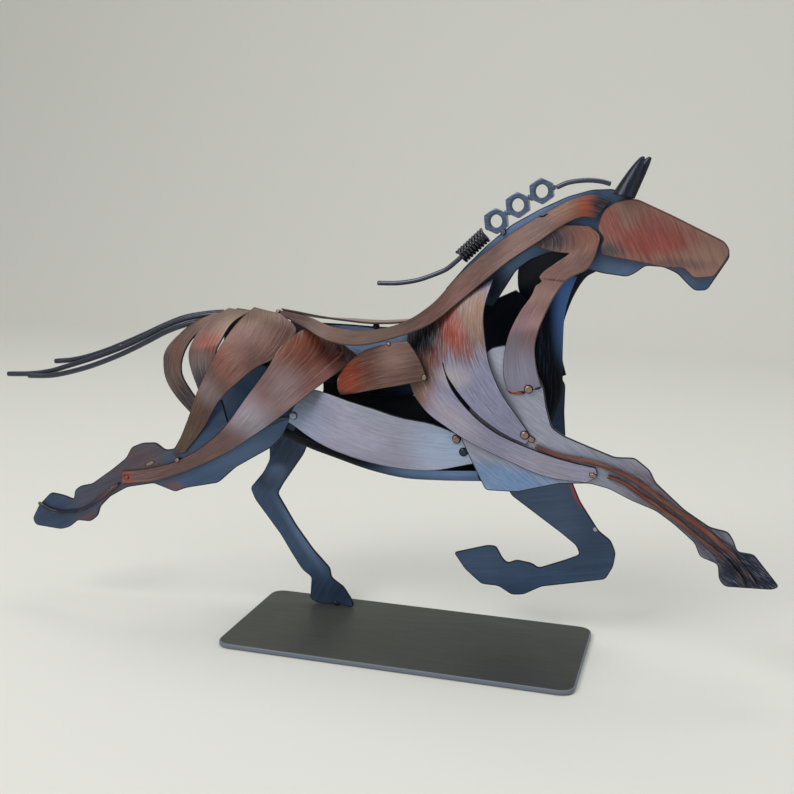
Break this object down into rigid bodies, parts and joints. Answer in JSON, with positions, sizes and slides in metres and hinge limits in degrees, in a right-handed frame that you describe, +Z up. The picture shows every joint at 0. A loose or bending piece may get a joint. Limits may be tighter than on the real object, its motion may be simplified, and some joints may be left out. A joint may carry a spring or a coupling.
{
  "type": "scrap metal horse sculpture",
  "caption": "Galloping horse of bent and welded sheet metal strips, rods, nuts and a spring, standing on one hind hoof on a flat base plate.",
  "frame": {"origin": "middle of the base plate's underside", "axes": "+X along the horse towards its head, +Z up, -Y towards the near side, where the leading foreleg is"},
  "size_m": [0.4616, 0.0874, 0.2705],
  "materials": {
    "base_black": "matte dark grey paint, worn on the edges",
    "navy_paint": "satin navy blue paint, brushed on",
    "copper_paint": "satin copper brown paint with red and blue brush strokes",
    "lilac_paint": "satin copper to pale lilac paint, brushed on",
    "head_brown": "satin brown paint with a red cheek patch",
    "rod_copper": "satin copper brown paint that turns navy at the hoof"
  },
  "bodies": {
    "root": {"back_strip_far": "copper_paint", "back_strip_near": "copper_paint", "base_plate": "base_black", "belly_strip_far": "navy_paint", "belly_strip_near": "lilac_paint", "breast_sheet": "navy_paint", "crest_and_jaw_plate": "navy_paint", "ear_far": "navy_paint", "ear_near": "navy_paint", "far_foreleg": "navy_paint", "far_hind_leg": "navy_paint", "flank_leaf_near": "copper_paint", "flank_sheet_far": "navy_paint", "foreleg_rod_lower": "rod_copper", "foreleg_rod_upper": "rod_copper", "head_plate_far": "head_brown", "head_plate_near": "head_brown", "hind_leg_rod": "navy_paint", "keel_channel": "navy_paint", "mane_nut_1": "navy_paint", "mane_nut_2": "navy_paint", "mane_nut_3": "navy_paint", "mane_rod_front": "navy_paint", "mane_rod_rear": "navy_paint", "mane_spring": "navy_paint", "near_foreleg": "lilac_paint", "near_hind_leg": "navy_paint", "rump_strip_far_1": "copper_paint", "rump_strip_far_2": "copper_paint", "rump_strip_far_3": "copper_paint", "rump_strip_near_1": "copper_paint", "rump_strip_near_2": "copper_paint", "rump_strip_near_3": "copper_paint", "rump_strip_near_4": "copper_paint", "shoulder_sheet_far": "navy_paint", "shoulder_sheet_near": "lilac_paint", "tail_rod_1": "navy_paint", "tail_rod_2": "navy_paint", "tail_rod_3": "navy_paint", "throat_strip_far": "navy_paint", "throat_strip_near": "copper_paint"}
  },
  "joints": []
}
